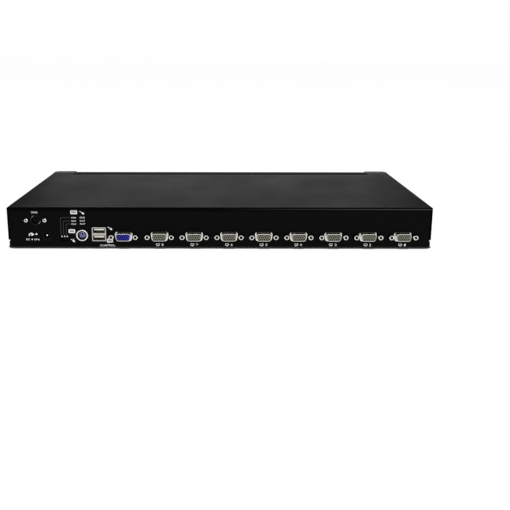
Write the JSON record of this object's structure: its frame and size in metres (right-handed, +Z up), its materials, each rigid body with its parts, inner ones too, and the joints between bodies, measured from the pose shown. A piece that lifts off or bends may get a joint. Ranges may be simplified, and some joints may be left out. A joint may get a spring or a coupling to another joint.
{
  "type": "kvm switch",
  "caption": "Rack-width box in black sheet steel that lets one keyboard, screen and mouse control several computers, with a rear row of D-shaped video ports.",
  "frame": {"origin": "middle of the underside", "axes": "+X to the right as seen by someone facing the connector panel, +Y from the connector panel at the rear to the buttons at the front, +Z up"},
  "size_m": [0.44, 0.1778, 0.044],
  "materials": {
    "cover_paint": "satin black powder coat with a fine grain",
    "chassis_paint": "satin black powder coat with a fine grain",
    "bezel_plastic": "glossy black moulding with a matte film panel",
    "cap_plastic": "fine spark-eroded texture",
    "black_screw": "black zinc",
    "zinc_screw": "bright zinc",
    "brass_post": "turned brass",
    "board_laminate": "green solder mask",
    "switch_plastic": "moulded",
    "led_lens": "clear lens",
    "clear_pipe": "moulded clear acrylic",
    "display_face": "dark face, pale segments",
    "smoked_window": "smoked red acrylic",
    "chip_epoxy": "moulded epoxy",
    "capacitor_can": "sleeved can",
    "black_moulding": "moulded",
    "ribbon_grey": "flat cable",
    "gold_contact": "gold plate",
    "jack_nickel": "nickel plate",
    "ring_nickel": "nickel plate",
    "shell_nickel": "nickel plate",
    "violet_insert": "moulded",
    "white_print": "screen-printed ink",
    "grey_print": "screen-printed ink",
    "bus_steel": "folded plated steel",
    "cream_tongue": "moulded",
    "dark_housing": "moulded",
    "switch_frame": "plated steel",
    "grey_insulator": "moulded",
    "blue_insulator": "moulded",
    "button_plastic": "moulded"
  },
  "bodies": {
    "kvm_body": {"top_cover": "cover_paint", "base_chassis": "chassis_paint", "front_bezel": "bezel_plastic", "left_end_cap": "cap_plastic", "right_end_cap": "cap_plastic", "cover_screws": "black_screw", "board_and_bezel_screws": "zinc_screw", "board_standoffs": "brass_post", "main_board": "board_laminate", "front_board": "board_laminate", "tact_switches": "switch_plastic", "status_leds": "led_lens", "light_pipes": "clear_pipe", "bank_display": "display_face", "display_window": "smoked_window", "board_chips": "chip_epoxy", "capacitors": "capacitor_can", "buzzer": "black_moulding", "ribbon_cables": "ribbon_grey", "video_contacts": "gold_contact", "jackscrews": "jack_nickel", "keyboard_port_shell": "ring_nickel", "keyboard_port_insert": "violet_insert", "double_bus_shell": "bus_steel", "double_bus_tongues": "cream_tongue", "double_bus_contacts": "gold_contact", "link_port_housing": "dark_housing", "link_port_insert": "black_moulding", "link_port_shield": "ring_nickel", "link_port_screws": "zinc_screw", "power_jack_body": "black_moulding", "power_jack_pin": "jack_nickel", "mode_switch_body": "switch_frame", "pc1_shell": "shell_nickel", "pc1_insulator": "grey_insulator", "pc2_shell": "shell_nickel", "pc2_insulator": "grey_insulator", "pc3_shell": "shell_nickel", "pc3_insulator": "grey_insulator", "pc4_shell": "shell_nickel", "pc4_insulator": "grey_insulator", "pc5_shell": "shell_nickel", "pc5_insulator": "grey_insulator", "pc6_shell": "shell_nickel", "pc6_insulator": "grey_insulator", "pc7_shell": "shell_nickel", "pc7_insulator": "grey_insulator", "pc8_shell": "shell_nickel", "pc8_insulator": "grey_insulator", "console_video_shell": "shell_nickel", "console_video_insulator": "blue_insulator"},
    "button_1": {"port_button_1": "button_plastic"},
    "button_2": {"port_button_2": "button_plastic"},
    "button_3": {"port_button_3": "button_plastic"},
    "button_4": {"port_button_4": "button_plastic"},
    "button_5": {"port_button_5": "button_plastic"},
    "button_6": {"port_button_6": "button_plastic"},
    "button_7": {"port_button_7": "button_plastic"},
    "button_8": {"port_button_8": "button_plastic"},
    "mode_slider": {"mode_switch_slider": "black_moulding"}
  },
  "joints": [
    {"name": "port_1_press", "type": "slide", "parent": "kvm_body", "child": "button_1", "axis": [0, -1, 0], "range_m": [0, 0.0006], "stiffness_N_per_m": 1200, "springref_m": -0.0004},
    {"name": "port_2_press", "type": "slide", "parent": "kvm_body", "child": "button_2", "axis": [0, -1, 0], "range_m": [0, 0.0006], "stiffness_N_per_m": 1200, "springref_m": -0.0004},
    {"name": "port_3_press", "type": "slide", "parent": "kvm_body", "child": "button_3", "axis": [0, -1, 0], "range_m": [0, 0.0006], "stiffness_N_per_m": 1200, "springref_m": -0.0004},
    {"name": "port_4_press", "type": "slide", "parent": "kvm_body", "child": "button_4", "axis": [0, -1, 0], "range_m": [0, 0.0006], "stiffness_N_per_m": 1200, "springref_m": -0.0004},
    {"name": "port_5_press", "type": "slide", "parent": "kvm_body", "child": "button_5", "axis": [0, -1, 0], "range_m": [0, 0.0006], "stiffness_N_per_m": 1200, "springref_m": -0.0004},
    {"name": "port_6_press", "type": "slide", "parent": "kvm_body", "child": "button_6", "axis": [0, -1, 0], "range_m": [0, 0.0006], "stiffness_N_per_m": 1200, "springref_m": -0.0004},
    {"name": "port_7_press", "type": "slide", "parent": "kvm_body", "child": "button_7", "axis": [0, -1, 0], "range_m": [0, 0.0006], "stiffness_N_per_m": 1200, "springref_m": -0.0004},
    {"name": "port_8_press", "type": "slide", "parent": "kvm_body", "child": "button_8", "axis": [0, -1, 0], "range_m": [0, 0.0006], "stiffness_N_per_m": 1200, "springref_m": -0.0004},
    {"name": "mode_slide", "type": "slide", "parent": "kvm_body", "child": "mode_slider", "axis": [1, 0, 0], "range_m": [-0.0025, 0.0025]}
  ]
}
